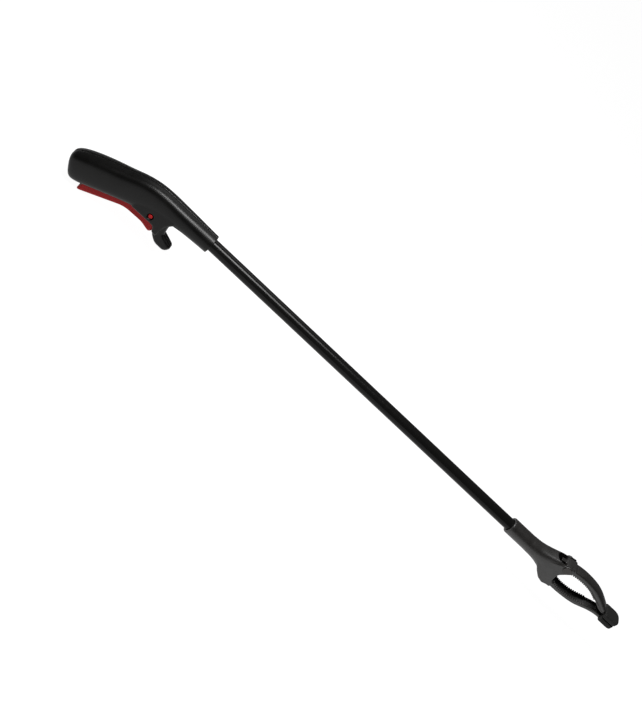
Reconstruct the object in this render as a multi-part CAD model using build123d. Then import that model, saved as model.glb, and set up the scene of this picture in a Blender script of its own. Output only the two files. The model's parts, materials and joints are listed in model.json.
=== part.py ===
from build123d import *
import math
import os

os.makedirs("parts", exist_ok=True)

# Reacher grabber, millimetres.
# Origin: on the shaft's axis at the handle's nose face. +X runs along the shaft towards the jaws,
# +Z points up, away from the trigger. The part is symmetric about the XZ plane but for its fasteners.
# It is drawn with the trigger squeezed and the jaws shut.

# Shaft
tube_radius = 6.0
tube_wall = 1.0
tube_exposed = 380.0
handle_socket = 30.0
head_socket = 24.0
seat_clearance = 0.05

# Pull rod and its guides
rod_radius = 1.5
rod_slide_clearance = 0.1
guide_length = 10.0
guide_clearance = 0.2
guide_count = 3
bush_length = 12.0
flange_thickness = 3.0
flange_step = 1.0
nut_radius = 3.0
nut_length = 2.4

# Handle
nose_wall = 2.3
shell_wall = 1.8
web_half_width = 8.6
grip_half_width = 12.0
grip_slope = 28.0
grip_bend_x = -76.0
web_bottom = -22.6
butt_x = -138.0
hook_half_width = 4.8
screw_radius = 1.3
screw_head_radius = 2.5
screw_head_height = 1.8
screw_head_clearance = 0.2
screw_seat_y = 5.0
screw_boss_radius = 3.2
screw_length = 12.0

# Trigger
trigger_pivot_x = -54.3
trigger_pivot_z = -16.2
trigger_swing = 26.0
trigger_side_clearance = 0.4
trigger_cheek = 2.2
trigger_depth = 14.0
trigger_floor = 1.5
trigger_wall_height = 10.0
trigger_rear_gap = 17.0
mouth_rear_gap = 11.0
trigger_lug_radius = 5.0
trunnion_radius = 2.2
trunnion_clearance = 0.06
trunnion_ring = 1.0
trunnion_ring_depth = 0.7
link_pin_radius = 1.5
slot_clearance = 0.15

# Head and jaws
neck_wall = 2.5
cheek_wall = 2.0
jaw_pivot_reach = 68.2
jaw_pivot_z = 12.0
jaw_length = 63.3
jaw_arm = 6.0
jaw_swing = 45.0
jaw_side_clearance = 0.3
jaw_rim = 2.2
jaw_web = 2.2
pivot_radius = 2.0
pivot_clearance = 0.06
pivot_head_radius = 4.2
pivot_head_height = 0.8
clip_thickness = 0.8
cheek_reach = 40.2
slot_reach = 12.2
slot_floor = -4.5
tooth_pitch = 3.0
tooth_depth = 0.9
toothed_share = 0.58

# Tip pads
pad_length = 18.5
pad_half_width = 8.5
pad_thickness = 5.5
pad_gap = 0.6
pad_corner = 7.0
pad_edge = 2.0
tongue_length = 15.0
tongue_half_width = 5.5
tongue_thickness = 1.8

# Crosshead and return spring
crosshead_length = 12.0
crosshead_clearance = 0.3
blade_half_thickness = 2.6
spring_wire_radius = 0.45
spring_turns = 7

# Worked out from the above
cut = 200.0  # reach of cutting shapes, past everything they cut
tube_bore = tube_radius - tube_wall
nose_radius = tube_radius + nose_wall
neck_radius = tube_radius + neck_wall
head_x = tube_exposed
tube_rear_x = -handle_socket
tube_front_x = head_x + head_socket
cavity_half_width = web_half_width - shell_wall
trigger_half_width = cavity_half_width - trigger_side_clearance
slot_half_width = neck_radius - cheek_wall
jaw_half_width = slot_half_width - jaw_side_clearance
jaw_inner_half = jaw_half_width - jaw_rim
jaw_pivot_x = head_x + jaw_pivot_reach
pad_start_x = jaw_pivot_x + jaw_length
slot_end_x = jaw_pivot_x - slot_reach
rod_travel = 2 * jaw_arm * math.sin(math.radians(jaw_swing / 2))
trigger_arm = rod_travel / (2 * math.sin(math.radians(trigger_swing / 2)))
trigger_bottom = trigger_pivot_z - trigger_depth
trigger_rear_x = butt_x + trigger_rear_gap
grip_fall = math.tan(math.radians(grip_slope))


def half_turn_point(centre_x, centre_z, arm, swing):
    """Pin that hangs below a pivot, half its swing behind the pivot."""
    angle = math.radians(swing / 2)
    return centre_x - arm * math.sin(angle), centre_z - arm * math.cos(angle)


link_pin_x, link_pin_z = half_turn_point(trigger_pivot_x, trigger_pivot_z, trigger_arm, trigger_swing)
jaw_pin_x, jaw_pin_z = half_turn_point(jaw_pivot_x, jaw_pivot_z, jaw_arm, jaw_swing)


def save(name, shape):
    export_step(shape, f"parts/{name}.step")


def slab(face, half_width, centre_y=0.0):
    """A side outline, drawn in X and Z, given a thickness across Y."""
    return Pos(0, centre_y, 0) * extrude(Plane.XZ * face, half_width, both=True)


def polygon(*points):
    return make_face(Polyline(*points, close=True))


def rod_x(radius, start, end, z=0.0):
    """Round bar along X."""
    return Pos((start + end) / 2, 0, z) * Rot(0, 90, 0) * Cylinder(radius, end - start)


def rod_y(radius, x, z, start, end):
    """Round bar along Y."""
    return Pos(x, (start + end) / 2, z) * Rot(90, 0, 0) * Cylinder(radius, end - start)


def block(x_range, y_range, z_range):
    size = [pair[1] - pair[0] for pair in (x_range, y_range, z_range)]
    centre = [(pair[0] + pair[1]) / 2 for pair in (x_range, y_range, z_range)]
    return Pos(*centre) * Box(*size)


def grip_top(x):
    """Height of the grip's back, below the bend."""
    return 3.0 + (x + 89.5) * grip_fall


def grip_bottom(x):
    """Height of the shells' lower edge."""
    return web_bottom + min(0.0, x - grip_bend_x) * grip_fall


def trigger_line(x, offset=0.0):
    """Height of the trigger's finger face, raised by an offset."""
    return trigger_bottom + offset + min(0.0, x - grip_bend_x) * grip_fall


# ---------------------------------------------------------------- handle shells

def rounded_polygon(points, radii):
    """A polygon with some of its corners rounded, corner number to radius."""
    face = polygon(*points)
    for number, radius in radii.items():
        x, z = points[number]
        corner = face.vertices().sort_by_distance((x, z, 0))[0]
        face = fillet(corner, radius)
    return face


def grip_outline(inset=0.0):
    """Side outline of the shells' body, from the barrel to the butt, drawn smaller by an inset."""
    front = -32.0
    points = [
        (front, nose_radius - 0.4), (-76.5, nose_radius + 0.6), (butt_x + 5.0, grip_top(butt_x + 5.0)),
        (butt_x - 1.0, grip_bottom(butt_x) + 3.0), (butt_x + 9.0, grip_bottom(butt_x + 9.0)),
        (grip_bend_x, web_bottom), (-52.0, web_bottom), (front, -nose_radius - 2.5),
    ]
    face = rounded_polygon(points, {1: 50.0, 2: 12.0, 3: 6.0, 4: 6.0, 5: 20.0})
    return offset(face, -inset) if inset else face


def make_handle():
    grip = slab(grip_outline(), grip_half_width)
    long_edges = [edge for edge in grip.edges() if abs(edge.center().Y) > 5 and edge.center().X < -33
                  and (edge.center().Z > grip_top(edge.center().X) - 8.0 or edge.center().X < butt_x + 6)]
    grip = fillet(long_edges, 5.0)
    nose_half = nose_radius - 0.3
    plan = Plane.XY * polygon(
        (-20, nose_half), (-45, nose_half + 0.8), (-85, grip_half_width), (butt_x - 9, grip_half_width),
        (butt_x - 9, -grip_half_width), (-85, -grip_half_width), (-45, -nose_half - 0.8), (-20, -nose_half))
    grip &= extrude(plan, 90, both=True)
    barrel = rod_x(nose_radius, -60.0, 0.0)
    barrel = chamfer(barrel.edges().filter_by(GeomType.CIRCLE).sort_by(Axis.X)[-1], 0.8)
    web = slab(rounded_polygon([
        (grip_bend_x, 0), (grip_bend_x, web_bottom), (-47.0, web_bottom), (-43.2, -31.5),
        (-38.0, -31.0), (-37.0, -16.0), (-27.0, -11.4), (-12.0, -nose_radius - 0.5), (-12.0, 0)],
        {2: 4.0, 3: 1.5, 4: 2.0, 5: 3.5, 6: 20.0}), web_half_width)
    hook = slab(rounded_polygon([
        (-44.0, -20.0), (-42.0, -31.0), (-36.0, -36.5), (-26.0, -37.5), (-22.5, -30.5),
        (-36.5, -26.5), (-37.0, -18.0)], {1: 8.0, 2: 8.0, 3: 4.0, 4: 3.0}), hook_half_width)
    hook = fillet([edge for edge in hook.edges() if abs(edge.center().Y) > 4 and edge.center().Z < -28], 1.2)
    envelope = grip + barrel + web + hook

    # Hollow behind the shaft's socket, open below for the trigger
    inner_start = tube_rear_x - flange_thickness - 1.5
    inner = slab(grip_outline(shell_wall), cavity_half_width)
    grip_room = slab(offset(grip_outline(shell_wall), -3.0), grip_half_width - shell_wall - 0.6)
    inner += grip_room & block((-cut, grip_bend_x - 12.0), (-cut, cut), (-cut, cut))
    inner += rod_x(tube_radius, -60.0, inner_start)
    inner &= block((-cut, inner_start), (-cut, cut), (-cut, cut))
    nose_sweep = trigger_depth + 2.9
    nose_room = rod_y(nose_sweep, trigger_pivot_x, trigger_pivot_z, -cavity_half_width, cavity_half_width)
    nose_room &= block((trigger_pivot_x, -39.6), (-cut, cut), (-cut, -10))
    mouth_start = butt_x + mouth_rear_gap
    mouth_front = -47.0
    mouth = slab(polygon(
        (mouth_start, grip_bottom(mouth_start) + 6.0), (mouth_start, -cut), (mouth_front, -cut),
        (mouth_front, web_bottom + 5.0), (grip_bend_x, web_bottom + 5.0)), cavity_half_width)
    handle = envelope - inner - nose_room - mouth

    # Socket for the shaft and a groove for the rear bush's flange
    handle -= rod_x(tube_radius + seat_clearance, tube_rear_x, 10)
    groove_radius = tube_radius + flange_step + seat_clearance
    groove_start = tube_rear_x - flange_thickness - seat_clearance
    handle -= rod_x(groove_radius, groove_start, tube_rear_x + seat_clearance)
    handle -= rod_x(nut_radius + 1.0, inner_start - 1, tube_rear_x)
    return handle, envelope


screw_places = [
    (-43.0, -9.6), (-71.0, 1.0), (grip_bend_x - 24.0, grip_top(grip_bend_x - 24.0) - 12.4),
    (butt_x + 12.0, grip_top(butt_x + 12.0) - 16.6),
]


def make_shells():
    handle, envelope = make_handle()
    for x, z in screw_places:
        handle += rod_y(screw_boss_radius, x, z, -cut, cut) & envelope
    for x, z in screw_places:
        hole_end = screw_seat_y - screw_length
        handle -= rod_y(screw_radius, x, z, hole_end - 0.5, screw_seat_y)
        handle -= rod_y(screw_head_radius + screw_head_clearance, x, z, screw_seat_y, cut)
    for side in (-1, 1):
        hole = sorted((side * (cavity_half_width - 1), side * cut))
        handle -= rod_y(trunnion_radius + trunnion_clearance, trigger_pivot_x, trigger_pivot_z, *hole)
        ring = sorted((side * (web_half_width - trunnion_ring_depth), side * cut))
        handle -= rod_y(trunnion_radius + trunnion_ring, trigger_pivot_x, trigger_pivot_z, *ring)
    right = handle & block((-cut, cut), (-cut, 0), (-cut, cut))
    left = handle & block((-cut, cut), (0, cut), (-cut, cut))
    return right, left


right_shell, left_shell = make_shells()
save("handle_right_shell", right_shell)
save("handle_left_shell", left_shell)


def make_screw(x, z):
    shank = rod_y(screw_radius - 0.1, x, z, screw_seat_y - screw_length, screw_seat_y)
    head = rod_y(screw_head_radius, x, z, screw_seat_y, screw_seat_y + screw_head_height)
    cross = Box(3.0, 1.6, 0.7) + Box(0.7, 1.6, 3.0)
    return shank + head - Pos(x, screw_seat_y + screw_head_height, z) * cross


save("handle_screws", Compound(children=[make_screw(x, z) for x, z in screw_places]))


# ---------------------------------------------------------------- shaft and its bushes

shaft = rod_x(tube_radius, tube_rear_x, tube_front_x) - rod_x(tube_bore, tube_rear_x - 1, tube_front_x + 1)
head_screw_x = head_x + head_socket / 2
shaft -= rod_y(screw_radius, head_screw_x, 0, 0, cut)
save("shaft_tube", shaft)

rod_hole = rod_radius + rod_slide_clearance
bush_radius = tube_bore - seat_clearance
rear_flange_start = tube_rear_x - flange_thickness
rear_bush = rod_x(bush_radius, tube_rear_x, tube_rear_x + bush_length)
rear_bush += rod_x(tube_radius + flange_step, rear_flange_start, tube_rear_x)
save("rear_guide_bush", rear_bush - rod_x(rod_hole, rear_flange_start - 1, tube_rear_x + bush_length + 1))

front_bush = rod_x(bush_radius, tube_front_x - bush_length, tube_front_x)
save("front_guide_bush", front_bush - rod_x(rod_hole, tube_front_x - bush_length - 1, tube_front_x + 1))


# ---------------------------------------------------------------- head with its fixed jaw

def head_slab(face, half_width):
    """Slab whose outline is drawn with X counted from the jaw's pivot."""
    return Pos(jaw_pivot_x, 0, 0) * slab(face, half_width)


cheek_points = [
    (-cheek_reach, neck_radius - 0.1), (-18.2, neck_radius - 0.1), (4.6, jaw_pivot_z + 5.4),
    (7.4, jaw_pivot_z + 0.5), (3.0, jaw_pivot_z - 5.5), (-0.6, 1.0), (1.0, -8.0), (6.0, -10.5),
    (6.0, -16.0), (2.0, -16.0), (-3.0, -17.4), (-8.0, -17.0), (-22.2, -neck_radius - 1.0),
    (-cheek_reach, -neck_radius + 0.1),
]
cheek_radii = {1: 60.0, 2: 2.5, 3: 4.0, 4: 3.0, 5: 6.0, 6: 4.0, 10: 3.0, 11: 6.0, 12: 40.0}


def along_jaw(*points):
    """Outline points given as a share of the jaw's length and a height."""
    return [(share * jaw_length, z) for share, z in points]


fixed_outer = along_jaw(
    (0.0, -16.1), (0.265, -16.0), (0.55, -13.5), (0.771, -7.7), (0.897, -5.4), (1.0, -4.8))
fixed_inner = along_jaw(
    (1.0, -1.3), (0.859, -1.8), (0.648, -6.7), (0.455, -10.8), (0.258, -12.0), (0.028, -9.6))
moving_outer = along_jaw(
    (-0.057, 14.6), (0.123, 17.2), (0.344, 18.7), (0.55, 17.5), (0.708, 14.9), (0.85, 10.4), (1.0, 5.4))
moving_inner = along_jaw(
    (1.0, 1.6), (0.866, 2.8), (0.692, 7.6), (0.502, 11.7), (0.313, 12.4), (0.155, 11.2), (0.028, 8.6))


def arm_face(outer, inner):
    """Outline of a jaw arm between its back and its gripping edge."""
    return Face(Wire([
        Spline(*outer), Line(outer[-1], inner[0]), Spline(*inner), Line(inner[-1], outer[0])]))


def arm_recess(outer, side, start_share, end_share):
    """Space between an arm's rims: all that lies inside its web."""
    start, end = start_share * jaw_length, end_share * jaw_length
    web_line = [(x, z - side * jaw_web * 1.15) for x, z in outer if start <= x <= end]
    far = -side * 1.0
    rear = web_line[0][0] - 6.0
    return polygon((rear, web_line[0][1]), *web_line, (end, far), (rear, far))


def toothed(arm, inner, half_width):
    """Cuts notches across the gripping edges of an arm's rims."""
    edge = Spline(*inner)
    count = int(edge.length * toothed_share / tooth_pitch)
    for number in range(count):
        share = 1.0 - (number + 1.5) * tooth_pitch / edge.length
        place, along = edge @ share, edge % share
        turn = math.degrees(math.atan2(along.Y, along.X))
        notch = Rot(0, 0, turn + 45) * Rectangle(tooth_depth * math.sqrt(2), tooth_depth * math.sqrt(2))
        arm -= head_slab(Pos(place.X, place.Y) * notch, half_width + 1)
    return arm


crosshead_bore = tube_radius - 0.5
head_screw_seat = neck_radius - 0.8


def make_head():
    neck = rod_x(neck_radius, head_x, jaw_pivot_x - 18.2)
    neck = chamfer(neck.edges().filter_by(GeomType.CIRCLE).sort_by(Axis.X)[0], 1.0)
    cheeks = head_slab(rounded_polygon(cheek_points, cheek_radii), neck_radius)
    jaw = head_slab(arm_face(fixed_outer, fixed_inner), jaw_half_width)
    jaw -= head_slab(arm_recess(fixed_outer, -1, 0.12, 0.82), jaw_inner_half)
    jaw = toothed(jaw, fixed_inner, jaw_half_width)
    head = neck + cheeks + jaw

    # Slot between the cheeks, round at its rear end and open at the top and front
    slot_centre = slot_end_x + slot_half_width
    slot_top = 40.0
    slot_depth = slot_top - slot_floor
    slot_across = (-slot_half_width, slot_half_width)
    head -= block((slot_centre, jaw_pivot_x + 15.0), slot_across, (slot_floor, slot_top))
    head -= Pos(slot_centre, 0, slot_top - slot_depth / 2) * Cylinder(slot_half_width, slot_depth)

    # Neck: socket for the tube, then the spring's and crosshead's bore
    head -= rod_x(tube_radius + seat_clearance, head_x - 1, tube_front_x)
    head -= rod_x(crosshead_bore, tube_front_x - 1, slot_centre)
    head -= rod_y(screw_radius, head_screw_x, 0, 0, cut)
    head -= rod_y(screw_head_radius + screw_head_clearance, head_screw_x, 0, head_screw_seat, cut)
    head -= rod_y(pivot_radius + 0.01, jaw_pivot_x, jaw_pivot_z, -cut, cut)
    head += tip_tongue(-1)
    return head


def pad_heights(side):
    """Lowest and highest Z of a tip pad, side 1 for the moving jaw and -1 for the fixed one."""
    return sorted((side * pad_gap / 2, side * (pad_gap / 2 + pad_thickness)))


def tongue_heights(side):
    middle = side * (pad_gap / 2 + pad_thickness / 2)
    return middle - tongue_thickness / 2, middle + tongue_thickness / 2


def tip_tongue(side):
    """Flat tongue at the end of an arm, which carries the rubber pad."""
    return block((pad_start_x - 4.0, pad_start_x + tongue_length), (-tongue_half_width, tongue_half_width),
                 tongue_heights(side))


def make_pad(side):
    low, high = pad_heights(side)
    face = Pos(pad_start_x + pad_length / 2, 0) * Rectangle(pad_length, 2 * pad_half_width)
    face = fillet(face.vertices().sort_by(Axis.X)[-2:], pad_corner)
    face = fillet(face.vertices().sort_by(Axis.X)[:2], pad_edge)
    pad = Pos(0, 0, low) * extrude(face, high - low)
    back = pad.faces().sort_by(Axis.Z)[-1 if side > 0 else 0]
    pad = fillet(back.edges(), pad_edge)
    return pad - tip_tongue(side)


save("head_body", make_head())
save("fixed_jaw_pad", make_pad(-1))

head_screw = rod_y(screw_radius - 0.1, head_screw_x, 0, tube_bore, head_screw_seat)
head_screw += rod_y(screw_head_radius, head_screw_x, 0, head_screw_seat, neck_radius + 0.6)
save("head_screw", head_screw)

pin = rod_y(pivot_radius, jaw_pivot_x, jaw_pivot_z, -neck_radius, neck_radius + clip_thickness + 0.6)
pin += rod_y(pivot_head_radius, jaw_pivot_x, jaw_pivot_z, -neck_radius - pivot_head_height, -neck_radius)
save("jaw_pivot_pin", pin)

clip = rod_y(pivot_head_radius - 0.4, jaw_pivot_x, jaw_pivot_z, neck_radius, neck_radius + clip_thickness)
save("jaw_pin_clip", clip - rod_y(pivot_radius, jaw_pivot_x, jaw_pivot_z, -cut, cut))


# ---------------------------------------------------------------- moving jaw

def make_moving_jaw():
    arm = head_slab(arm_face(moving_outer, moving_inner), jaw_half_width)
    root_radius = pivot_radius + 1.8
    ear_radius = link_pin_radius + 1.6
    pin_x = jaw_pin_x - jaw_pivot_x
    root = Pos(0, jaw_pivot_z) * Circle(root_radius) + Pos(pin_x, jaw_pin_z) * Circle(ear_radius)
    root += polygon(
        (-root_radius, jaw_pivot_z), (pin_x - ear_radius, jaw_pin_z), (pin_x + ear_radius, jaw_pin_z),
        (7.8, jaw_pivot_z - 1.4), (7.8, jaw_pivot_z + 3.0), (0, jaw_pivot_z + root_radius))
    jaw = arm + head_slab(root, jaw_half_width)
    jaw -= head_slab(arm_recess(moving_outer, 1, -0.07, 0.85), jaw_inner_half)
    jaw = toothed(jaw, moving_inner, jaw_half_width)
    jaw -= rod_y(pivot_radius + pivot_clearance, jaw_pivot_x, jaw_pivot_z, -cut, cut)
    jaw -= rod_y(link_pin_radius, jaw_pin_x, jaw_pin_z, -cut, cut)
    return jaw + tip_tongue(1)


save("moving_jaw", make_moving_jaw())
save("moving_jaw_pad", make_pad(1))
save("crosshead_pin", rod_y(link_pin_radius, jaw_pin_x, jaw_pin_z, -jaw_half_width, jaw_half_width))


# ---------------------------------------------------------------- pull rod and what moves with it

def pin_slot(x, z, rise, half_thickness):
    """Upright slot that lets a swinging pin rise by the height of its arc."""
    half_slot = link_pin_radius + slot_clearance
    low, high = z - rise - half_slot, z + half_slot
    slot = block((x - half_slot, x + half_slot), (-half_thickness - 1, half_thickness + 1),
                 (low + half_slot, high - half_slot))
    for height in (low + half_slot, high - half_slot):
        slot += rod_y(half_slot, x, height, -half_thickness - 1, half_thickness + 1)
    return slot


jaw_rise = jaw_arm * (1 - math.cos(math.radians(jaw_swing / 2)))
link_rise = trigger_arm * (1 - math.cos(math.radians(trigger_swing / 2)))
crosshead_start = slot_end_x - crosshead_length
crosshead_radius = crosshead_bore - crosshead_clearance
blade_front = jaw_pin_x + 3.0
blade_across = (-blade_half_thickness, blade_half_thickness)
blade_bottom = slot_floor + 1.1
blade_top = jaw_pivot_z - pivot_radius - 0.9
crosshead = rod_x(crosshead_radius, crosshead_start, slot_end_x)
crosshead += block((slot_end_x - 1, blade_front), blade_across, (blade_bottom, crosshead_radius - 1.0))
crosshead += block((slot_end_x + 1.5, blade_front), blade_across, (blade_bottom, blade_top))
crosshead -= pin_slot(jaw_pin_x, jaw_pin_z, jaw_rise, blade_half_thickness)
rod_front_x = crosshead_start + 8.0
crosshead -= rod_x(rod_radius, crosshead_start - 1, rod_front_x)
save("crosshead", crosshead)

plate_front = tube_rear_x - flange_thickness - rod_travel - nut_length - 1.2
plate_block_length = 9.0
pull_half_thickness = 1.5
fork_slot = link_pin_radius + slot_clearance
leg_half_width = fork_slot + 2.0
leg_end = trigger_pivot_z - trigger_arm - 0.4
pull_plate = block((plate_front - plate_block_length, plate_front), (-4, 4), (-4, 4))
plate_across = (-pull_half_thickness, pull_half_thickness)
leg_rear, leg_front = link_pin_x - leg_half_width, link_pin_x + leg_half_width
pull_plate += block((leg_rear, plate_front - 2), plate_across, (-4, 4))
pull_plate += block((leg_rear, leg_front), plate_across, (leg_end, 0))
pull_plate -= block((link_pin_x - fork_slot, link_pin_x + fork_slot), (-5, 5), (leg_end - 1, link_pin_z))
pull_plate -= rod_y(fork_slot, link_pin_x, link_pin_z, -5, 5)
pull_plate -= rod_x(rod_radius, plate_front - plate_block_length + 1.5, plate_front + 1)
save("pull_plate", pull_plate)

rod_rear_x = plate_front - plate_block_length + 1.5
save("pull_rod", rod_x(rod_radius, rod_rear_x, rod_front_x))


def make_nut(start):
    hexagon = Plane(origin=(start, 0, 0), z_dir=(1, 0, 0)) * RegularPolygon(nut_radius, 6)
    return extrude(hexagon, nut_length) - rod_x(rod_radius, start - 1, start + nut_length + 1)


save("rod_nuts", Compound(children=[make_nut(plate_front), make_nut(crosshead_start - nut_length)]))

guides = []
for number in range(guide_count):
    middle = tube_rear_x + (tube_front_x - tube_rear_x) * (number + 1) / (guide_count + 1)
    ends = (middle - guide_length / 2, middle + guide_length / 2)
    guides.append(rod_x(tube_bore - guide_clearance, *ends) - rod_x(rod_radius, ends[0] - 1, ends[1] + 1))
save("rod_guides", Compound(children=guides))

spring_start = tube_front_x + spring_wire_radius
spring_end = crosshead_start - spring_wire_radius
spring_radius = (nut_radius + crosshead_bore) / 2
coil = Helix((spring_end - spring_start) / spring_turns, spring_end - spring_start, spring_radius,
             center=(spring_start, 0, 0), direction=(1, 0, 0))
wire_end = Plane(origin=coil @ 0, z_dir=coil % 0) * Circle(spring_wire_radius)
save("jaw_return_spring", sweep(wire_end, path=coil, is_frenet=True))


# ---------------------------------------------------------------- trigger

def make_trigger():
    rear = trigger_rear_x
    wall_top = trigger_bottom + trigger_wall_height
    outline = rounded_polygon([
        (-45.4, -21.0), (-44.8, trigger_bottom), (grip_bend_x, trigger_bottom), (rear, trigger_line(rear)),
        (rear + 4.5, trigger_line(rear + 4.5, trigger_wall_height)), (-72.0, wall_top), (-60.0, wall_top)],
        {0: 1.5, 1: 3.0, 2: 30.0, 3: 4.0, 4: 3.0, 5: 20.0})
    lug_start, lug_end = trigger_pivot_x - trigger_lug_radius, trigger_pivot_x + trigger_lug_radius
    lug = Pos(trigger_pivot_x, trigger_pivot_z) * Circle(trigger_lug_radius)
    lug += polygon(
        (lug_start, trigger_pivot_z), (-63.0, trigger_bottom + 5), (-46.0, trigger_bottom + 5),
        (lug_end, trigger_pivot_z))
    trigger = slab(outline, trigger_half_width) + slab(lug, trigger_half_width)
    room = polygon(
        (-40.0, trigger_bottom + trigger_floor), (grip_bend_x - 2, trigger_bottom + trigger_floor),
        (rear + 2.0, trigger_line(rear + 2.0, trigger_floor + 1.0)), (rear + 2.0, 0), (-40.0, 0))
    trigger -= slab(room, trigger_half_width - trigger_cheek)
    trigger -= rod_y(link_pin_radius, link_pin_x, link_pin_z, -cut, cut)
    for side in (-1, 1):
        ends = sorted((side * (trigger_half_width - 1), side * (web_half_width + 0.2)))
        trigger += rod_y(trunnion_radius, trigger_pivot_x, trigger_pivot_z, *ends)
    return trigger


save("trigger", make_trigger())
link_pin = rod_y(link_pin_radius, link_pin_x, link_pin_z, -trigger_half_width, trigger_half_width)
save("trigger_link_pin", link_pin)
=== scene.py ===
import json
import math
import bmesh
import bpy
from mathutils import Matrix, Vector


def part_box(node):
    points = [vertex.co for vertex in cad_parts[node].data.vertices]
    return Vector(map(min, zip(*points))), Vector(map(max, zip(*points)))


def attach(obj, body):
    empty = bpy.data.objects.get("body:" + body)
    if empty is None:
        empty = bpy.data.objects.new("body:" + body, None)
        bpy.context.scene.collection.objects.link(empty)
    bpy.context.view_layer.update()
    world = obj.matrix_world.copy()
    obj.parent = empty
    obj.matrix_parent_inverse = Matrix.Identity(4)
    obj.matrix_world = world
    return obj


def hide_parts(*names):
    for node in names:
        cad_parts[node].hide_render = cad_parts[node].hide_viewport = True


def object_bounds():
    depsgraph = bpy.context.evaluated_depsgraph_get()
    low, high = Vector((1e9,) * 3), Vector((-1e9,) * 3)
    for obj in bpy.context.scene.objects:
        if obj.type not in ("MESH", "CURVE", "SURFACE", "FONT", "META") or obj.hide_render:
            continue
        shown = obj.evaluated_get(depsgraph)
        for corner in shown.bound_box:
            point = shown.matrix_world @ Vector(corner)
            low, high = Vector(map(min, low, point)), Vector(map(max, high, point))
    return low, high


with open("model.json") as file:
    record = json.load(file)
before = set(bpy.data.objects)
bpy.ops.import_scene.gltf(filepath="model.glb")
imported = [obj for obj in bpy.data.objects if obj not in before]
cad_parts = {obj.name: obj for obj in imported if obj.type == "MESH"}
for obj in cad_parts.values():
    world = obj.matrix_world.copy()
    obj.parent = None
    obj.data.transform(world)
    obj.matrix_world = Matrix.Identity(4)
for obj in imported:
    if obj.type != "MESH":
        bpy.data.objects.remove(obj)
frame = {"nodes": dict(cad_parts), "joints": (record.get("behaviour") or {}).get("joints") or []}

# Reacher grabber. Sizes in the dictionaries are millimetres; the frame is in metres.
mm = 0.001
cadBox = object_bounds()
bpy.context.scene.view_settings.view_transform = "Standard"

joints = {joint["name"]: joint for joint in frame["joints"]}
triggerPivot = Vector(joints["trigger_release"]["pos_m"]) / mm
jawPivot = Vector(joints["jaw_open"]["pos_m"]) / mm
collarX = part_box("head_body")[0].x / mm
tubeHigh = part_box("shaft_tube")[1] / mm
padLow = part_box("moving_jaw_pad")[0] / mm
tubeRadius = tubeHigh.z
jawLength = padLow.x - jawPivot.x
tubeFit = 0.15  # between the tube and its sockets
pinHole = 1.5  # radius, for the two 3 mm link pins
past = 20  # cutters reach this far past the part's sides


def nodeBox(node):
    return [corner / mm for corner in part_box(node)]


def middleOf(node):
    # the node's middle, seen from the side
    low, high = nodeBox(node)
    return (low.x + high.x) / 2, (low.z + high.z) / 2


# small workshop helpers

def letGo():
    bpy.ops.object.select_all(action="DESELECT")


def takeUp(piece):
    letGo()
    piece.select_set(True)
    bpy.context.view_layer.objects.active = piece
    return piece


def settle(piece):
    takeUp(piece)
    bpy.ops.object.transform_apply(location=True, rotation=True, scale=True)
    return piece


def applied(piece, kind, **settings):
    takeUp(piece)
    tool = piece.modifiers.new(kind.lower(), kind)
    for setting, value in settings.items():
        setattr(tool, setting, value)
    bpy.ops.object.modifier_apply(modifier=tool.name)
    return piece


def fused(piece, *others, grain=0.4):
    # joined, then given one skin of even faces
    takeUp(piece)
    for other in others:
        other.select_set(True)
    bpy.ops.object.join()
    return applied(piece, "REMESH", mode="VOXEL", voxel_size=grain * mm)


def carved(piece, *cutters):
    for cutter in cutters:
        applied(piece, "BOOLEAN", operation="DIFFERENCE", solver="MANIFOLD", object=cutter)
        bpy.data.objects.remove(cutter)
    return piece


def added(piece, *others):
    for other in others:
        applied(piece, "BOOLEAN", operation="UNION", solver="MANIFOLD", object=other)
        bpy.data.objects.remove(other)
    return piece


def bar(name, radius, start, end, along="X", at=(0, 0), sides=64, edge=0):
    # round bar along an axis; at gives its other two coordinates
    letGo()
    middle = (start + end) / 2
    places = {"X": (middle, *at), "Y": (at[0], middle, at[1]), "Z": (*at, middle)}
    turns = {"X": (0, math.pi / 2, 0), "Y": (math.pi / 2, 0, 0), "Z": (0, 0, 0)}
    bpy.ops.mesh.primitive_cylinder_add(vertices=sides, radius=radius * mm, depth=(end - start) * mm,
                                        location=Vector(places[along]) * mm, rotation=turns[along])
    piece = bpy.context.object
    piece.name = name
    settle(piece)
    if edge:
        applied(piece, "BEVEL", width=edge * mm, segments=4, limit_method="ANGLE")
    return piece


def brick(name, low, high):
    letGo()
    middle = [(a + b) / 2 * mm for a, b in zip(low, high)]
    bpy.ops.mesh.primitive_cube_add(size=1, location=middle)
    piece = bpy.context.object
    piece.name = name
    piece.scale = [(b - a) * mm for a, b in zip(low, high)]
    return settle(piece)


def roundedCorners(corners):
    # corners are (x, z) or (x, z, radius)
    line = []
    count = len(corners)
    for number, corner in enumerate(corners):
        here = Vector(corner[:2])
        radius = corner[2] if len(corner) > 2 else 0
        before = Vector(corners[number - 1][:2]) - here
        after = Vector(corners[(number + 1) % count][:2]) - here
        if not radius:
            line.append(here)
            continue
        turn = before.angle(after)
        reach = min(radius / math.tan(turn / 2), 0.49 * before.length, 0.49 * after.length)
        first, last = here + before.normalized() * reach, here + after.normalized() * reach
        steps = 8
        for step in range(steps + 1):
            share = step / steps
            # a quadratic arc through the corner's two tangent points
            line.append(first * (1 - share) ** 2 + here * 2 * share * (1 - share) + last * share ** 2)
    return line


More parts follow.
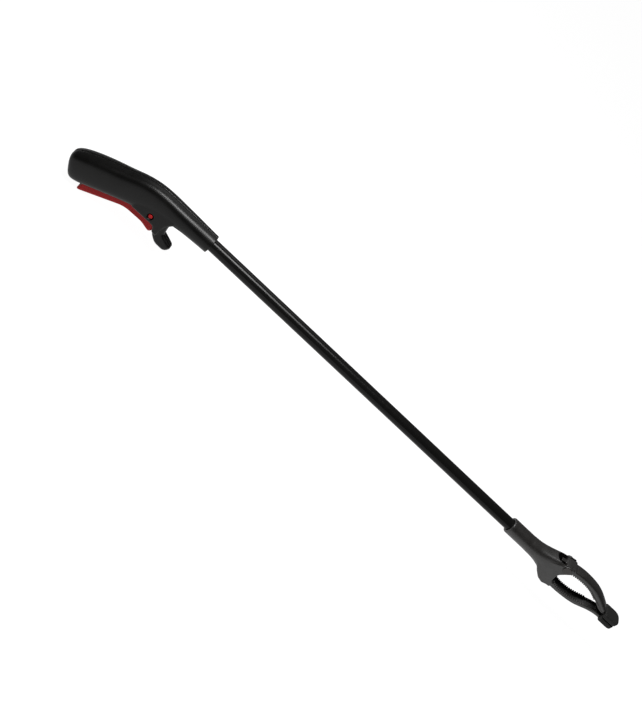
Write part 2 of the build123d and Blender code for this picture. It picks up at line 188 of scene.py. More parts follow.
def flowing(knots, steps=8):
    # smooth line through the knots
    line = []
    for number in range(len(knots) - 1):
        a, b, c, d = [Vector(knots[min(max(number + k, 0), len(knots) - 1)]) for k in (-1, 0, 1, 2)]
        for step in range(steps):
            t = step / steps
            line.append(0.5 * (2 * b + (c - a) * t + (2 * a - 5 * b + 4 * c - d) * t * t
                               + (3 * b - a - 3 * c + d) * t ** 3))
    line.append(Vector(knots[-1]))
    return line


def slab(name, outline, half, edge=0.0, origin=(0, 0), flat=False, height=0.0):
    # flat curve given a thickness and a rounded edge; upright in X and Z, or flat in X and Y
    letGo()
    bpy.ops.curve.primitive_bezier_circle_add(radius=1)
    piece = bpy.context.object
    piece.name = name
    curve = piece.data
    curve.dimensions = "2D"
    curve.fill_mode = "BOTH"
    curve.splines.clear()
    path = curve.splines.new("POLY")
    path.points.add(len(outline) - 1)
    path.use_cyclic_u = True
    for point, place in zip(path.points, outline):
        point.co = ((place[0] + origin[0]) * mm, (place[1] + origin[1]) * mm, 0, 1)
    curve.extrude = (half - edge) * mm
    curve.bevel_depth = edge * mm
    curve.bevel_resolution = 3
    curve.offset = -edge * mm
    takeUp(piece)
    bpy.ops.object.convert(target="MESH")
    piece = bpy.context.object
    if flat:
        piece.location.z = height * mm
    else:
        piece.rotation_euler.x = math.pi / 2
    settle(piece)
    tidyFaces(piece)
    return piece


def tidyFaces(piece):
    takeUp(piece)
    bpy.ops.object.mode_set(mode="EDIT")
    bpy.ops.mesh.select_all(action="SELECT")
    bpy.ops.mesh.remove_doubles(threshold=0.004 * mm)
    bpy.ops.mesh.normals_make_consistent(inside=False)
    bpy.ops.object.mode_set(mode="OBJECT")


def lofted(name, stations, steps=3):
    # a plate with its corners cut off, pulled along the stations:
    # (x, z, half height, half width, tilt, length cut off at the corners)
    letGo()
    bpy.ops.mesh.primitive_plane_add(size=2)
    piece = bpy.context.object
    piece.name = name
    bpy.ops.object.mode_set(mode="EDIT")
    bpy.ops.mesh.select_all(action="SELECT")
    bpy.ops.mesh.bevel(offset=0.5, affect="VERTICES", segments=1)
    bpy.ops.mesh.select_all(action="SELECT")
    plate = [vert.co.copy() for vert in bmesh.from_edit_mesh(piece.data).verts]
    last = list(plate)
    for number, (x, z, halfHeight, halfWidth, tilt, corner) in enumerate(stations):
        if number:
            bpy.ops.mesh.extrude_region_move()
        work = bmesh.from_edit_mesh(piece.data)
        lean = Matrix.Rotation(math.radians(-tilt), 3, "Y")
        ring = []
        for home in plate:
            across = math.copysign(halfWidth - (0 if abs(home.x) > abs(home.y) else corner), home.x)
            up = math.copysign(halfHeight - (0 if abs(home.y) > abs(home.x) else corner), home.y)
            ring.append(Vector((x, 0, z)) + lean @ Vector((0, across, up)))
        for vert in [vert for vert in work.verts if vert.select]:
            # each corner goes on from the one it was pulled out of
            nearest = min(range(len(last)), key=lambda k: (last[k] - vert.co).length)
            vert.co = ring[nearest] * mm
        last = [place * mm for place in ring]
        bmesh.update_edit_mesh(piece.data)
    bpy.ops.object.mode_set(mode="OBJECT")
    tidyFaces(piece)
    applied(piece, "SUBSURF", levels=steps, render_levels=steps)
    return piece


def worn(piece, grain, rounds):
    # one even skin, its edges rounded as a mould leaves them
    applied(piece, "REMESH", mode="VOXEL", voxel_size=grain * mm)
    applied(piece, "SMOOTH", factor=0.5, iterations=rounds)
    takeUp(piece)
    bpy.ops.object.shade_smooth()
    return piece


def finished(piece, body, nodes, material):
    piece.data.materials.clear()
    piece.data.materials.append(material)
    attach(piece, body)
    if nodes:
        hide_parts(*nodes)
    print(piece.name, len(piece.data.polygons), "faces")
    return piece


# finishes

def newFinish(name, roughness, **sockets):
    material = bpy.data.materials.new(name)
    material.use_nodes = True
    tree = material.node_tree
    shader = tree.nodes["Principled BSDF"]
    shader.inputs["Roughness"].default_value = roughness
    for socket, value in sockets.items():
        shader.inputs[socket.replace("_", " ")].default_value = value
    place = tree.nodes.new("ShaderNodeTexCoord")
    return material, tree, shader, place.outputs["Object"]


def noise(tree, place, scale, detail=3, stretch=(1, 1, 1)):
    spread = tree.nodes.new("ShaderNodeMapping")
    spread.inputs["Scale"].default_value = stretch
    tree.links.new(place, spread.inputs["Vector"])
    grain = tree.nodes.new("ShaderNodeTexNoise")
    grain.inputs["Scale"].default_value = scale
    grain.inputs["Detail"].default_value = detail
    tree.links.new(spread.outputs["Vector"], grain.inputs["Vector"])
    return grain.outputs["Fac"]


def blended(tree, factor, low, high):
    ramp = tree.nodes.new("ShaderNodeValToRGB")
    ramp.color_ramp.elements[0].position = 0.35
    ramp.color_ramp.elements[1].position = 0.65
    ramp.color_ramp.elements[0].color = (*low, 1)
    ramp.color_ramp.elements[1].color = (*high, 1)
    tree.links.new(factor, ramp.inputs["Fac"])
    return ramp.outputs["Color"]


def ranged(tree, factor, low, high):
    span = tree.nodes.new("ShaderNodeMapRange")
    span.inputs["From Min"].default_value = 0.3
    span.inputs["From Max"].default_value = 0.7
    span.inputs["To Min"].default_value = low
    span.inputs["To Max"].default_value = high
    tree.links.new(factor, span.inputs["Value"])
    return span.outputs["Result"]


def mixed(tree, factor, under, over):
    mix = tree.nodes.new("ShaderNodeMix")
    mix.data_type = "RGBA"
    tree.links.new(factor, mix.inputs["Factor"])
    tree.links.new(under, mix.inputs["A"])
    mix.inputs["B"].default_value = (*over, 1)
    return mix.outputs["Result"]


def edgeWear(tree, low, high):
    shape = tree.nodes.new("ShaderNodeNewGeometry")
    span = tree.nodes.new("ShaderNodeMapRange")
    span.inputs["From Min"].default_value = low
    span.inputs["From Max"].default_value = high
    tree.links.new(shape.outputs["Pointiness"], span.inputs["Value"])
    return span.outputs["Result"]


def roughened(tree, shader, height, strength, distance):
    bump = tree.nodes.new("ShaderNodeBump")
    bump.inputs["Strength"].default_value = strength
    bump.inputs["Distance"].default_value = distance * mm
    tree.links.new(height, bump.inputs["Height"])
    tree.links.new(bump.outputs["Normal"], shader.inputs["Normal"])


def mouldedPlastic(name, dark, light, edge, roughness, sheen, grain=2600, relief=0.03, gloss=0.5, cavity=0.0):
    # dark and light are the two tones it drifts between, edge the tone of its rubbed edges; cavity sets how
    # much painted shade its hollows get
    material, tree, shader, place = newFinish(name, roughness, Specular_IOR_Level=gloss)
    drift = noise(tree, place, 45, 4)
    tone = blended(tree, drift, dark, light)
    tone = mixed(tree, edgeWear(tree, 0.53, 0.62), tone, edge)
    if cavity:
        # painted shade: an occlusion node darkens the hollows' colour and lowers their shine
        hollow = tree.nodes.new("ShaderNodeAmbientOcclusion")
        hollow.inputs["Distance"].default_value = 7 * mm
        tree.links.new(tone, hollow.inputs["Color"])
        tone = hollow.outputs["Color"]
        shine = tree.nodes.new("ShaderNodeMapRange")
        shine.inputs["From Min"].default_value = 0.35
        shine.inputs["From Max"].default_value = 0.85
        shine.inputs["To Min"].default_value = gloss * (1 - cavity)
        shine.inputs["To Max"].default_value = gloss
        tree.links.new(hollow.outputs["AO"], shine.inputs["Value"])
        tree.links.new(shine.outputs["Result"], shader.inputs["Specular IOR Level"])
    tree.links.new(tone, shader.inputs["Base Color"])
    patches = noise(tree, place, 160, 5)
    tree.links.new(ranged(tree, patches, roughness - sheen, roughness + sheen), shader.inputs["Roughness"])
    roughened(tree, shader, noise(tree, place, grain, 2), 0.5, relief)
    return material


handleBlack = mouldedPlastic("handleBlack", (0.0012, 0.00116, 0.0011), (0.0022, 0.0021, 0.00195),
                             (0.006, 0.0058, 0.0053), 0.36, 0.03, relief=0.012, gloss=0.19)
# the head's plastic gets painted shade in its hollows through cavity
headBlack = mouldedPlastic("headBlack", (0.0085, 0.0077, 0.0071), (0.0115, 0.0103, 0.0094),
                           (0.024, 0.0218, 0.020), 0.42, 0.05, gloss=0.65, cavity=0.85)
triggerRed = mouldedPlastic("triggerRed", (0.26, 0.006, 0.007), (0.32, 0.009, 0.010), (0.42, 0.02, 0.02),
                            0.38, 0.04, relief=0.015, gloss=0.12)
padGrey = mouldedPlastic("padGrey", (0.011, 0.011, 0.0105), (0.015, 0.015, 0.0145), (0.024, 0.024, 0.023),
                         0.72, 0.05, grain=1700, relief=0.06, gloss=0.25)
nylonNatural = mouldedPlastic("nylonNatural", (0.56, 0.53, 0.46), (0.62, 0.59, 0.52), (0.68, 0.66, 0.6),
                              0.5, 0.05)
acetalBlack = mouldedPlastic("acetalBlack", (0.016, 0.016, 0.017), (0.022, 0.022, 0.023),
                             (0.035, 0.035, 0.036), 0.4, 0.05)


def tubeFinish():
    material, tree, shader, place = newFinish("tubeBlack", 0.2, Specular_IOR_Level=0.13)
    drift = noise(tree, place, 30, 3, (0.15, 1, 1))
    tone = blended(tree, drift, (0.003, 0.0029, 0.0028), (0.0045, 0.0044, 0.0042))
    tree.links.new(tone, shader.inputs["Base Color"])
    # faint rubbed streaks round the tube
    streaks = noise(tree, place, 260, 5, (1, 0.2, 0.2))
    tree.links.new(ranged(tree, streaks, 0.17, 0.25), shader.inputs["Roughness"])
    roughened(tree, shader, noise(tree, place, 900, 2), 0.25, 0.02)
    return material


def metalFinish(name, tone, roughness, drawn):
    material, tree, shader, place = newFinish(name, roughness, Metallic=1.0)
    streaks = noise(tree, place, 700, 4, drawn)
    light = tuple(min(1, part * 1.15) for part in tone)
    tree.links.new(blended(tree, streaks, tone, light), shader.inputs["Base Color"])
    tree.links.new(ranged(tree, streaks, roughness - 0.06, roughness + 0.08), shader.inputs["Roughness"])
    roughened(tree, shader, streaks, 0.3, 0.01)
    return material


tubeBlack = tubeFinish()
brightSteel = metalFinish("brightSteel", (0.55, 0.55, 0.56), 0.28, (0.1, 1, 1))
blackenedSteel = metalFinish("blackenedSteel", (0.055, 0.052, 0.05), 0.42, (1, 1, 1))
zincPlate = metalFinish("zincPlate", (0.58, 0.57, 0.53), 0.34, (1, 1, 0.2))

nodeFinishes = {
    "shaft_tube": tubeBlack, "rear_guide_bush": nylonNatural, "front_guide_bush": nylonNatural,
    "rod_guides": nylonNatural, "pull_plate": zincPlate, "pull_rod": brightSteel,
    "rod_nuts": brightSteel, "handle_screws": brightSteel, "head_screw": brightSteel,
    "jaw_pin_clip": brightSteel, "jaw_pivot_pin": blackenedSteel, "jaw_return_spring": brightSteel,
    "crosshead_pin": brightSteel, "trigger_link_pin": brightSteel,
}
for node, material in nodeFinishes.items():
    cadPiece = frame["nodes"][node]
    cadPiece.data.materials.clear()
    cadPiece.data.materials.append(material)
print("finishes made")


# handle shells

handle = {
    "webHalf": 9.9, "webEdge": 2.4, "hookHalf": 5.0, "hookEdge": 3.2, "cavityHalf": 6.75, "seamGap": 0.05,
    "slope": 28.0, "gripTurn": -76.0, "mouthEdge": -22.6, "crownX": -89.5, "crownZ": 3.0, "noseFace": -0.3,
    "roomRear": -129, "mouthRear": -127, "roomFront": -34.5, "mouthFront": -47, "bossRadius": 3.2,
    "sweepRadius": 17.7, "sweepFront": -39.2, "sweepTop": -10,
    "socketDepth": 30.0, "flangeRadius": 1.2, "flangeDepth": 3.2, "rodWay": 4.0,
    "shankHole": 1.35, "screwHeadHole": 2.75, "screwHeadSeat": 5,
    "trunnionHole": 2.4, "ringRadius": 3.2, "ringDepth": 1.2, "grain": 0.46, "rounds": 6,
}
gripFall = math.tan(math.radians(handle["slope"]))
bodyStations = [
    (8, 0, 9.2, 9.2, 0, 5.35), (-1, 0, 9.3, 9.3, 0, 5.4), (-11, -0.15, 9.6, 9.55, 0, 5.4),
    (-20, -0.3, 9.85, 9.9, 0, 5.3), (-29, -0.5, 10.2, 10.15, 0, 5.2), (-37, -1.35, 10.95, 10.3, 0, 5.1),
    (-46, -2.15, 12.0, 10.4, 0, 5.0), (-54, -2.9, 12.7, 10.4, 0, 5.0), (-62, -4.7, 13.95, 10.5, 3, 5.0),
    (-69, -7.5, 15.2, 10.6, 11, 5.0), (-76, -10.1, 15.3, 10.8, 21, 5.0), (-85, -13.8, 14.6, 11.2, 27, 5.0),
    (-97, -18.8, 14.8, 11.9, 28, 5.0), (-112, -25.6, 14.9, 12.1, 28, 5.0), (-123, -31.4, 14.7, 12.0, 28, 5.0),
    (-130, -35.2, 13.6, 11.2, 28, 4.8), (-134.1, -37.4, 10.4, 8.4, 28, 3.8),
]
webOutline = [
    (-72, -4), (-72, handle["mouthEdge"]), (-47.2, handle["mouthEdge"], 4), (-45.4, -28.0, 3),
    (-39.6, -29.0, 2), (-39.2, -16.0, 4), (-36.5, -11.0, 4), (-33.5, -6.0), (-36, -3),
]
hookOutline = [
    (-46.0, -16.0), (-45.6, -26.0, 6), (-43.6, -33.0, 8), (-36.5, -38.4, 9), (-25.4, -38.8, 6),
    (-21.4, -31.0, 5), (-35.0, -25.2, 1.5), (-37.0, -14.0),
]


def lowerEdge(x):
    return handle["mouthEdge"] + min(0, x - handle["gripTurn"]) * gripFall


def upperEdge(x):
    return handle["crownZ"] + (x - handle["crownX"]) * gripFall


def screwPlaces():
    # the four screws stand apart along X, each in its own cluster of the node
    verts = sorted((vert.co.copy() / mm for vert in frame["nodes"]["handle_screws"].data.vertices),
                   key=lambda co: co.x)
    groups = [[verts[0]]]
    for co in verts[1:]:
        if co.x - groups[-1][-1].x > 4:
            groups.append([])
        groups[-1].append(co)
    return [((group[0].x + group[-1].x) / 2, (min(co.z for co in group) + max(co.z for co in group)) / 2)
            for group in groups]


def handleForm():
    body = lofted("body", bodyStations)
    web = slab("web", roundedCorners(webOutline), handle["webHalf"], handle["webEdge"])
    hook = slab("hook", roundedCorners(hookOutline), handle["hookHalf"], handle["hookEdge"])
    return fused(body, web, hook, grain=handle["grain"])


def planCorner(name, back, front, side, half):
    # wedge that takes a front corner off, seen from above
    cut = {"outer": 7.1, "inner": 2.4}
    outline = [(back, side * cut["outer"]), (front, side * cut["outer"]), (front, side * cut["inner"])]
    return slab(name, outline, half, flat=True)


def handleRoom():
    # hollow for the trigger and the pull plate, open below
    rear, mouthRear, front = handle["roomRear"], handle["mouthRear"], handle["roomFront"]
    roof = [(rear, upperEdge(rear) - 5), (-92, upperEdge(-92) - 4.5), (-74, 3.0, 12), (front, 5.0)]
    floor = [(front, -5.0), (handle["mouthFront"], -5), (handle["mouthFront"], -90), (mouthRear, -90),
             (mouthRear, lowerEdge(mouthRear) + 6), (rear, lowerEdge(rear) + 9)]
    half = handle["cavityHalf"]
    room = slab("room", roundedCorners(roof + floor), half)
    sweep = bar("sweep", handle["sweepRadius"], -half, half, "Y", (triggerPivot.x, triggerPivot.z))
    carved(sweep, brick("behind", (-90, -past, -60), (triggerPivot.x, past, 30)),
           brick("ahead", (handle["sweepFront"], -past, -60), (0, past, 30)),
           brick("above", (-90, -past, handle["sweepTop"]), (0, past, 30)))
    for side in (-1, 1):
        # the trigger's front corners are cut off in plan, so its room is too
        carved(sweep, planCorner("roomCorner", -41.6, -38, side, 30))
    added(room, sweep)
    for x, z in screwPlaces():
        carved(room, bar("boss", handle["bossRadius"], -past, past, "Y", (x, z), 32))
    return room


def handleHalf(form, side):
    piece = form.copy()
    piece.data = form.data.copy()
    bpy.context.scene.collection.objects.link(piece)
    seam = side * handle["seamGap"]
    low, high = ((-200, -60, -120), (60, seam, 60)) if side < 0 else ((-200, seam, -120), (60, 60, 60))
    applied(piece, "BOOLEAN", operation="INTERSECT", solver="MANIFOLD", object=brick("keep", low, high))
    bpy.data.objects.remove(bpy.data.objects["keep"])
    hole = sorted((side * (handle["cavityHalf"] - 1), side * 30))
    ring = sorted((side * (handle["webHalf"] - handle["ringDepth"]), side * 30))
    pivot = (triggerPivot.x, triggerPivot.z)
    carved(piece, bar("trunnionHole", handle["trunnionHole"], *hole, "Y", pivot, 48),
           bar("trunnionRing", handle["ringRadius"], *ring, "Y", pivot, 48))
    return worn(piece, handle["grain"], handle["rounds"])


def makeHandle():
    form = handleForm()
    carved(form, handleRoom(), brick("noseEnd", (handle["noseFace"], -past, -past), (past, past, past)))
    socket = handle["socketDepth"]
    carved(form, bar("socket", tubeRadius + tubeFit, -socket, 5, sides=96),
           bar("flangeGroove", tubeRadius + handle["flangeRadius"], -socket - handle["flangeDepth"],
               -socket + 0.1),
           bar("rodWay", handle["rodWay"], -socket - 8, -socket + 1))
    seat = handle["screwHeadSeat"]
    for place in screwPlaces():
        carved(form, bar("shankHole", handle["shankHole"], -5.5, seat + 1, "Y", place, 32),
               bar("headHole", handle["screwHeadHole"], seat, 30, "Y", place, 32))
    halves = {"handleShellRight": ("handle_right_shell", -1), "handleShellLeft": ("handle_left_shell", 1)}
    for name, (node, side) in halves.items():
        half = handleHalf(form, side)
        half.name = name
        finished(half, "frame", [node], handleBlack)
    bpy.data.objects.remove(form)


makeHandle()
print("handle shells modelled")


# trigger

trigger = {
    "half": 6.5, "edge": 1.6, "cheek": 2.3, "depth": 14.0, "floor": 1.5, "lugRadius": 5.0, "linkReach": 5.6,
    "trunnion": 2.0, "trunnionReach": 9.7, "trunnionEdge": 0.4, "rearGap": 0.4, "grain": 0.38, "rounds": 4,
}


def fingerLine(x, raised=0.0):
    return triggerPivot.z - trigger["depth"] + raised + min(0, x - handle["gripTurn"]) * gripFall


def makeTrigger():
    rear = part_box("trigger")[0].x / mm + trigger["rearGap"]
    low = triggerPivot.z - trigger["depth"]
    half, radius, pivot = trigger["half"], trigger["lugRadius"], (triggerPivot.x, triggerPivot.z)
    outline = roundedCorners([
        (-45.6, -20.5, 1.5), (-45.0, low - 0.9, 2), (-48.0, low - 1.7, 3), (-57, low + 0.7, 14),
        (handle["gripTurn"], low + 0.2, 25), (rear, fingerLine(rear), 4),
        (rear + 4.5, fingerLine(rear + 4.5, 10), 3), (-72, low + 10, 20), (-60, low + 10)])
    piece = slab("triggerBlade", outline, half, trigger["edge"])
    lug = slab("lug", roundedCorners([
        (pivot[0] - radius, pivot[1]), (-63, low + 5), (-46, low + 5), (pivot[0] + radius, pivot[1])]), half)
    boss = bar("triggerBoss", radius, -half, half, "Y", pivot)
    fused(piece, lug, boss, grain=trigger["grain"])
    for side in (-1, 1):
        carved(piece, planCorner("frontCorner", -48.2, -44, side, 40))
    inner = half - trigger["cheek"]
    floor = low + trigger["floor"]
    rearFloor = fingerLine(rear + 2, trigger["floor"] + 1)
    carved(piece, slab("triggerRoom", [(-40, floor), (-78, floor), (rear + 2, rearFloor), (rear + 2, 0),
                                       (-40, 0)], inner))
    reach = trigger["linkReach"]
    carved(piece, bar("linkHole", pinHole, -reach, reach, "Y", middleOf("trigger_link_pin"), 32))
    trunnion = bar("trunnion", trigger["trunnion"], -trigger["trunnionReach"], trigger["trunnionReach"], "Y",
                   pivot, 48, trigger["trunnionEdge"])
    carved(trunnion, brick("between", (-60, -inner - 0.5, -25), (-48, inner + 0.5, -8)))
    added(piece, trunnion)
    worn(piece, trigger["grain"], trigger["rounds"])
    return finished(piece, "trigger", ["trigger"], triggerRed)


makeTrigger()
print("trigger modelled")


# head with the fixed jaw

head = {
    "neckRadius": 8.35, "neckEnd": -30, "collarEdge": 0.9, "cheekHalf": 8.5, "cheekEdge": 1.2,
    "slotHalf": 6.5, "slotReach": 14.6, "slotFloor": -4.5, "slotTop": 40, "slotFront": 16,
    "jawHalf": 6.2, "jawEdge": 0.8, "channelHalf": 5.2, "web": 1.5, "boreFit": 0.35, "pinHole": 2.05,
    "screwHole": 1.35, "screwHeadHole": 2.75, "screwSeat": 7.6, "grain": 0.38, "rounds": 4,
}
neckStations = [  # x from the jaw's pivot
    (-48, 0, 8.5, 8.5, 0, 4.95), (-38, 0, 8.7, 8.7, 0, 5.0), (-31, 0.3, 9.0, 8.8, 1, 4.9),
    (-24.5, 0.5, 10.0, 8.9, 2, 4.4), (-17.5, 0.5, 11.9, 8.85, 2, 3.7), (-11, 0.6, 14.1, 8.8, 1, 3.0),
    (-5.5, 0.2, 16.5, 8.7, 0, 2.6), (-1.2, 0.0, 16.8, 7.8, 0, 2.4),
]
cheekOutline = [  # (x, z, radius) from the jaw's pivot and the shaft's axis
    (-26, 1), (-17, 7.0, 10), (-8, 12.4, 10), (-0.5, 16.4, 6), (5.4, 17.7, 1.8), (7.4, 12.3, 3.5),
    (3.2, 6.6, 3), (-0.2, 1.0, 6), (1.6, -8.0, 4), (6.0, -10.3), (6.0, -15.9), (2.0, -16.6),
    (-2.6, -18.4, 3), (-9.0, -16.8, 7), (-16, -11.9, 12), (-26, -3),
]


def alongJaw(*knots):
    return [(share * jawLength, z) for share, z in knots]


fixedOuter = alongJaw((-0.05, -16.1), (0.265, -16.0), (0.55, -13.5), (0.771, -7.7), (0.897, -5.4),
                      (1.0, -4.8))
fixedInner = alongJaw((1.0, -1.3), (0.859, -1.8), (0.648, -6.4), (0.455, -10.5), (0.258, -11.8),
                      (0.12, -10.5), (0.02, -7.0))
movingOuter = alongJaw((-0.057, 13.6), (0.1, 16.6), (0.2, 18.0), (0.344, 18.8), (0.55, 18.1),
                       (0.708, 15.7), (0.85, 11.4), (1.0, 6.0))
movingInner = alongJaw((1.0, 1.6), (0.866, 2.8), (0.692, 7.6), (0.502, 11.7), (0.313, 12.4),
                       (0.155, 11.2), (0.028, 8.6))
teeth = {"pitch": 2.25, "radius": 0.8, "edge": 0.25, "rise": 0.15, "first": 0.6, "rootShare": 0.04,
         "endShare": 0.68}
tip = {"back": 5, "ahead": 15, "half": 5.5, "inner": 2.2, "outer": 3.9}


def toothed(piece, edgeLine, side, origin, inner, outer):
    # one tooth is modelled, then copied along both rims; side is +1 where the edge faces up
    tooth = bar("tooth", teeth["radius"], inner - 0.4, outer - teeth["edge"], "Y", (0, 0), 12, teeth["edge"])
    copies = []
    walked, mark = 0.0, teeth["pitch"] * teeth["first"]
    total = sum((b - a).length for a, b in zip(edgeLine, edgeLine[1:]))
    for a, b in zip(edgeLine, edgeLine[1:]):
        length = (b - a).length
        while walked + length >= mark:
            here = a.lerp(b, (mark - walked) / length)
            if teeth["rootShare"] < 1 - mark / total < teeth["endShare"]:
                for turn in (0, math.pi):
                    copy = tooth.copy()
                    copy.data = tooth.data.copy()
                    bpy.context.scene.collection.objects.link(copy)
                    copy.rotation_euler.z = turn
                    place = (here.x + origin[0], 0, here.y + origin[1] + side * teeth["rise"])
                    copy.location = Vector(place) * mm
                    copies.append(copy)
            mark += teeth["pitch"]
        walked += length
    bpy.data.objects.remove(tooth)
    takeUp(copies[0])
    for copy in copies:
        copy.select_set(True)
    bpy.ops.object.join()
    added(piece, settle(copies[0]))
    takeUp(piece)
    bpy.ops.object.shade_smooth_by_angle(angle=math.radians(40))


def armOutline(outer, inner):
    return flowing(outer) + flowing(inner)


def channelOutline(outer, side, startShare, endShare, far, web):
    start, end = startShare * jawLength, endShare * jawLength
    roof = [Vector((knot.x, knot.y - side * web)) for knot in flowing(outer) if start <= knot.x <= end]
    return [Vector((start - 6, roof[0].y))] + roof + [Vector((end, far)), Vector((start - 6, far))]


def padTongue(side):
    # the flat tip that a pad is pushed over
    heights = sorted((side * tip["inner"], side * tip["outer"]))
    return brick("tongue", (padLow.x - tip["back"], -tip["half"], heights[0]),
                 (padLow.x + tip["ahead"], tip["half"], heights[1]))


def makeHead():
    pivot = (jawPivot.x, 0)
    neck = bar("neck", head["neckRadius"], collarX, jawPivot.x + head["neckEnd"], sides=96,
               edge=head["collarEdge"])
    flare = lofted("flare", [(x + jawPivot.x, *rest) for x, *rest in neckStations])
    cheeks = slab("cheeks", roundedCorners(cheekOutline), head["cheekHalf"], head["cheekEdge"], pivot)
    arm = slab("fixedArm", armOutline(fixedOuter, fixedInner), head["jawHalf"], head["jawEdge"], pivot)
    piece = fused(neck, flare, cheeks, arm, grain=head["grain"])
    slotStart = jawPivot.x - head["slotReach"]
    slotCentre = slotStart + head["slotHalf"]
    half = head["slotHalf"]
    slotRun = brick("slotRun", (slotCentre, -half, head["slotFloor"]),
                    (jawPivot.x + head["slotFront"], half, head["slotTop"]))
    slotEnd = bar("slotEnd", half, head["slotFloor"], head["slotTop"], "Z", (slotCentre, 0))
    carved(piece, slotEnd, slotRun)
    channel = channelOutline(fixedOuter, -1, 0.08, 0.92, 2, head["web"])
    carved(piece, slab("channel", channel, head["channelHalf"], 0, pivot))
    carved(piece, bar("tubeSocket", tubeRadius + tubeFit, collarX - 5, tubeHigh.x, sides=96),
           bar("crossheadBore", tubeRadius - head["boreFit"], tubeHigh.x - 1, slotCentre + 2))
    screwAt = (middleOf("head_screw")[0], 0)
    carved(piece, bar("headScrewWay", head["screwHole"], 2, past, "Y", screwAt, 32),
           bar("headScrewSeat", head["screwHeadHole"], head["screwSeat"], past, "Y", screwAt, 32),
           bar("pinWay", head["pinHole"], -past, past, "Y", (jawPivot.x, jawPivot.z), 32))
    added(piece, padTongue(-1))
    worn(piece, head["grain"], head["rounds"])
    toothed(piece, flowing(fixedInner), 1, pivot, head["channelHalf"], head["jawHalf"])
    piece.name = "headShell"
    return finished(piece, "frame", ["head_body"], headBlack)


makeHead()
print("head modelled")


# moving jaw

movingJaw = {
    "half": 6.15, "rimEdge": 0.7, "rimShare": 0.45, "channelHalf": 4.5, "web": 2.6, "forkHalf": 2.95,
    "tongueHalf": 2.2, "edge": 0.4, "pivotHole": 2.06, "sections": 12, "grain": 0.34, "rounds": 4,
}


def armStations(outer, inner, places, halfWidth):
    # sections square to the arm, between matching places on its two edges
    outerLine, innerLine = flowing(outer), list(reversed(flowing(inner)))
    stations = []
    for place in places:
        top = outerLine[round(place * (len(outerLine) - 1))]
        bottom = innerLine[round(place * (len(innerLine) - 1))]
        across = top - bottom
        tilt = math.degrees(math.atan2(-across.x, across.y))
        centre = (top + bottom) / 2
        halfHeight = across.length / 2 * 1.01
        stations.append((centre.x + jawPivot.x, centre.y, halfHeight, halfWidth * 1.01, tilt,
                         0.5 * halfHeight))
    return stations


def makeMovingJaw():
    pivot = (jawPivot.x, 0)
    half, edge = movingJaw["half"], movingJaw["edge"]
    places = [number / movingJaw["sections"] for number in range(movingJaw["sections"] + 1)]
    back = lofted("jawBack", armStations(movingOuter, movingInner, places, half))
    share = movingJaw["rimShare"]
    middle = [(a[0], a[1] * share + b[1] * (1 - share)) for a, b in zip(movingOuter, reversed(movingInner))]
    rim = slab("jawRim", flowing(middle) + flowing(movingInner), half, movingJaw["rimEdge"], pivot)
    pinX, pinZ = middleOf("crosshead_pin")
    pinX -= jawPivot.x
    root = slab("jawRoot", roundedCorners([
        (-3.6, 15.0, 0.6), (0, 16.1), (6.6, 17.6, 0.8), (8.0, 15.8, 1), (9.5, 12.0, 2), (pinX + 3.2, pinZ, 2),
        (pinX, pinZ - 3.1, 2), (pinX - 3.1, pinZ, 2), (-4.2, 11.3, 2), (-4.2, 13.0, 0.6)]), half, edge, pivot)
    finger = slab("finger", roundedCorners([(-9.2, 13.2, 0.8), (2, 15.6), (2, 12.6), (-9.2, 12.3, 0.4)]),
                  movingJaw["tongueHalf"], edge, pivot)
    piece = fused(back, rim, root, finger, grain=movingJaw["grain"])
    channel = channelOutline(movingOuter, 1, 0.2, 0.86, -1, movingJaw["web"])
    carved(piece, slab("jawChannel", channel, movingJaw["channelHalf"], 0, pivot))
    fork = [(-14, 12.4), (-2.6, 11.3), (1.2, 9.7), (2.8, 7.0), (2.8, -6), (-14, -6)]
    carved(piece, slab("forkGap", fork, movingJaw["forkHalf"], 0, pivot))
    carved(piece, bar("pivotWay", movingJaw["pivotHole"], -past, past, "Y", (jawPivot.x, jawPivot.z), 48),
           bar("pinWay", pinHole, -past, past, "Y", (pinX + jawPivot.x, pinZ), 32))
    added(piece, padTongue(1))
    worn(piece, movingJaw["grain"], movingJaw["rounds"])
    toothed(piece, flowing(movingInner), -1, pivot, movingJaw["channelHalf"], half + 0.2)
    piece.name = "movingJawArm"
    return finished(piece, "jaw", ["moving_jaw"], headBlack)


makeMovingJaw()
print("moving jaw modelled")


# crosshead

crosshead = {"barrel": 12, "endEdge": 0.5, "foot": -3.4, "bladeHalf": 2.6, "bladeEdge": 0.3, "rodFit": 0.02,
             "joinGrain": 0.3, "grain": 0.28, "rounds": 2}


def makeCrosshead():
    low, high = nodeBox("crosshead")
    shoulder, foot = low.x + crosshead["barrel"], crosshead["foot"]
    piece = bar("crossheadSlider", -low.z, low.x, shoulder, edge=crosshead["endEdge"])
    blade = slab("blade", roundedCorners([
        (shoulder - 4, foot), (high.x, foot, 1.5), (high.x, high.z, 2.2), (high.x - 6, high.z, 1.5),
        (shoulder + 1.5, 5.0, 1.5), (shoulder - 4, 4.4)]), crosshead["bladeHalf"], crosshead["bladeEdge"])
    fused(piece, blade, grain=crosshead["joinGrain"])
    rodEnd = nodeBox("pull_rod")[1]
    carved(piece, bar("pinWay", pinHole, -9, 9, "Y", middleOf("crosshead_pin"), 32),
           bar("rodSeat", rodEnd.z + crosshead["rodFit"], low.x - 2, rodEnd.x, sides=32))
    worn(piece, crosshead["grain"], crosshead["rounds"])
    return finished(piece, "rod", ["crosshead"], acetalBlack)


makeCrosshead()
print("crosshead modelled")


# tip pads

pads = {"corner": 7.0, "heel": 2.0, "edge": 1.5, "grooves": 5, "groovePitch": 2.6, "firstGroove": 4,
        "grooveRadius": 0.45, "grain": 0.34, "rounds": 4}


